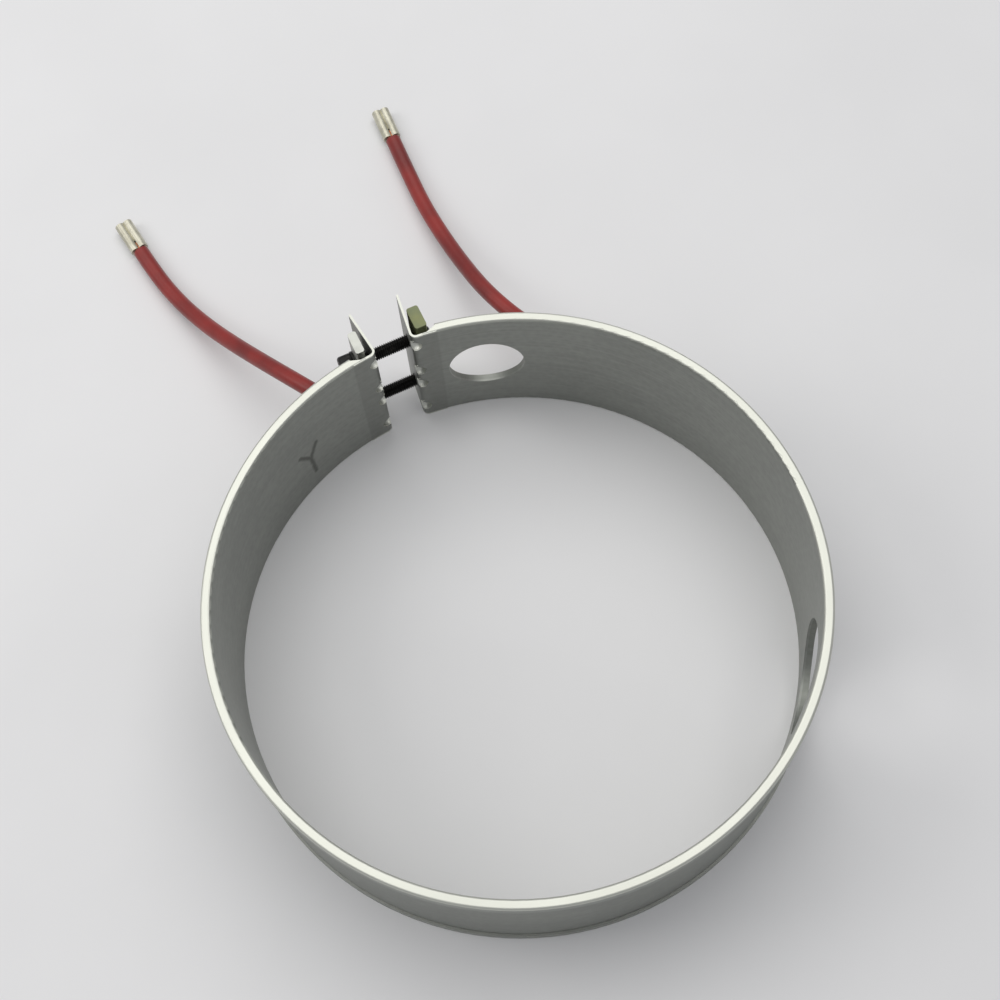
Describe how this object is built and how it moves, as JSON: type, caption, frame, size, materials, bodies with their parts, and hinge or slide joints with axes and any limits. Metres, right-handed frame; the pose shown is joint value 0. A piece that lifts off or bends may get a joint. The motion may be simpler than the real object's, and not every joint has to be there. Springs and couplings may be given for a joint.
{
  "type": "mica band heater",
  "caption": "Sheet steel mica band heater with folded rims, clamped round a barrel by screws through leaning ears, with holes through its wall and red leads that end in rolled crimps",
  "frame": {"origin": "on the barrel's axis, in the plane of the band's lower rim", "axes": "+Z is the barrel's axis, up through the band's width; +Y points from the axis to the middle of the clamping gap; +X completes the frame and runs from the screws' heads towards the tapped bar"},
  "size_m": [0.2072, 0.3409, 0.06],
  "materials": {
    "sheath": "satin galvanised sheet",
    "cover": "satin galvanised sheet",
    "mica": "silvery flaked sheet",
    "ribbon": "drawn resistance alloy",
    "terminal": "bright nickel strip",
    "eyelet": "plated, bright",
    "silicone": "smooth deep red silicone",
    "copper": "stranded copper",
    "crimp": "tinned, dull bright",
    "zinc": "white zinc plating",
    "yellow_zinc": "yellow zinc plating",
    "black_oxide": "black oxide, oiled"
  },
  "bodies": {
    "band": {"inner_sheath": "sheath", "cover_sheet": "cover", "inner_mica": "mica", "winding_core": "mica", "outer_mica": "mica", "resistance_ribbon": "ribbon", "terminal_left": "terminal", "terminal_right": "terminal", "eyelet_left": "eyelet", "eyelet_right": "eyelet", "lead_left": "silicone", "lead_right": "silicone", "conductor_left": "copper", "conductor_right": "copper", "crimp_left": "crimp", "crimp_right": "crimp", "head_bar": "zinc", "nut_bar": "yellow_zinc"},
    "washer_upper_body": {"washer_upper": "black_oxide"},
    "screw_upper_body": {"screw_upper": "black_oxide"},
    "washer_lower_body": {"washer_lower": "black_oxide"},
    "screw_lower_body": {"screw_lower": "black_oxide"}
  },
  "joints": [
    {"name": "screw_upper_travel", "type": "slide", "parent": "band", "child": "washer_upper_body", "axis": [-1, 0, 0], "range_m": [0, 0.0064]},
    {"name": "screw_upper_turn", "type": "hinge", "parent": "washer_upper_body", "child": "screw_upper_body", "pos_m": [-0.014, 0.108, 0.045], "axis": [-1, 0, 0], "range_deg": [0, 2880]},
    {"name": "screw_lower_travel", "type": "slide", "parent": "band", "child": "washer_lower_body", "axis": [-1, 0, 0], "range_m": [0, 0.0064]},
    {"name": "screw_lower_turn", "type": "hinge", "parent": "washer_lower_body", "child": "screw_lower_body", "pos_m": [-0.014, 0.108, 0.015], "axis": [-1, 0, 0], "range_deg": [0, 2880]}
  ],
  "couplings": [
    {"joint": "screw_upper_turn", "follows": "screw_upper_travel", "rad_per_m": 7854},
    {"joint": "screw_lower_turn", "follows": "screw_lower_travel", "rad_per_m": 7854}
  ]
}
